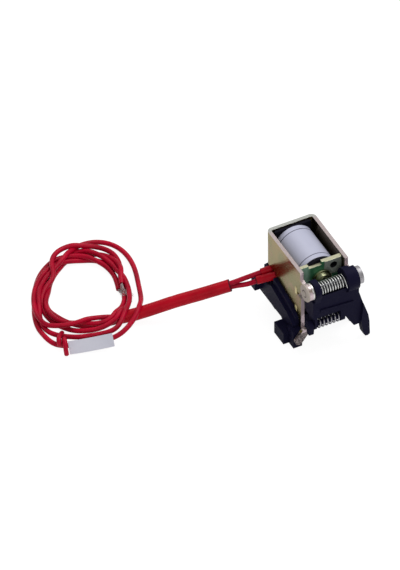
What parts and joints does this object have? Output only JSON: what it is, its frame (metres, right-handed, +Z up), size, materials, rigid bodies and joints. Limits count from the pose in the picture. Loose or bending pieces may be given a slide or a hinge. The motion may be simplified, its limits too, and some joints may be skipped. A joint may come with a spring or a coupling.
{
  "type": "release coil",
  "caption": "Release coil in a plated yoke on a black carrier: a striker swings a sprung trip lever, and red leads in a sleeve end in a wound ring.",
  "frame": {"origin": "on the table under the middle of the yoke, on the underside of the carrier's plinth", "axes": "+X right, -Y towards the trip lever, +Z up; the table is z = 0"},
  "size_m": [0.1124, 0.0971, 0.036],
  "materials": {
    "plated_steel": "zinc plated, passivated olive to pink",
    "black_plastic": "moulded, satin",
    "former_plastic": "moulded, matt",
    "copper": "enamelled winding wire",
    "paper": "plain white",
    "turned_steel": "turned, passivated",
    "bright_steel": "bright",
    "spring_wire": "drawn wire",
    "tinned": "tinned",
    "red_lead": "soft insulation, satin",
    "red_sleeve": "shrink sleeve, semi-gloss"
  },
  "bodies": {
    "frame": {"carrier_base": "black_plastic", "yoke_frame": "plated_steel", "front_plate": "plated_steel", "bobbin": "former_plastic", "winding": "copper", "coil_label": "paper", "pole_bush": "turned_steel", "pivot_pin": "bright_steel", "pin_washer": "bright_steel", "lever_spring": "spring_wire", "armature_spring": "spring_wire", "solder_pins": "tinned", "lead_a": "red_lead", "lead_b": "red_lead", "joint_sleeves": "red_sleeve", "bundle_sleeve": "red_sleeve", "lead_coil": "red_lead", "marker_tag": "paper", "tinned_ends": "tinned"},
    "plunger": {"armature": "turned_steel", "striker": "turned_steel"},
    "lever": {"trip_lever": "black_plastic", "lower_spindle": "black_plastic", "pawl_spring": "spring_wire"},
    "pawl": {"pawl": "black_plastic"}
  },
  "joints": [
    {"name": "striker_slide", "type": "slide", "parent": "frame", "child": "plunger", "axis": [0, -1, 0], "range_m": [0, 0.0018], "stiffness_N_per_m": 400, "springref_m": -0.002, "deforming": ["armature_spring"]},
    {"name": "lever_hinge", "type": "hinge", "parent": "frame", "child": "lever", "pos_m": [0, -0.0193, 0.03], "axis": [-1, 0, 0], "range_deg": [0, 20], "deforming": ["lever_spring"]},
    {"name": "pawl_hinge", "type": "hinge", "parent": "lever", "child": "pawl", "pos_m": [-0.009, -0.0198, 0.0128], "axis": [-1, 0, 0], "range_deg": [0, 20], "stiffness_Nm_per_rad": 0.004, "springref_deg": -11.46, "deforming": ["pawl_spring"]}
  ],
  "couplings": [
    {"joint": "lever_hinge", "follows": "striker_slide", "rad_per_m": 193.9}
  ]
}
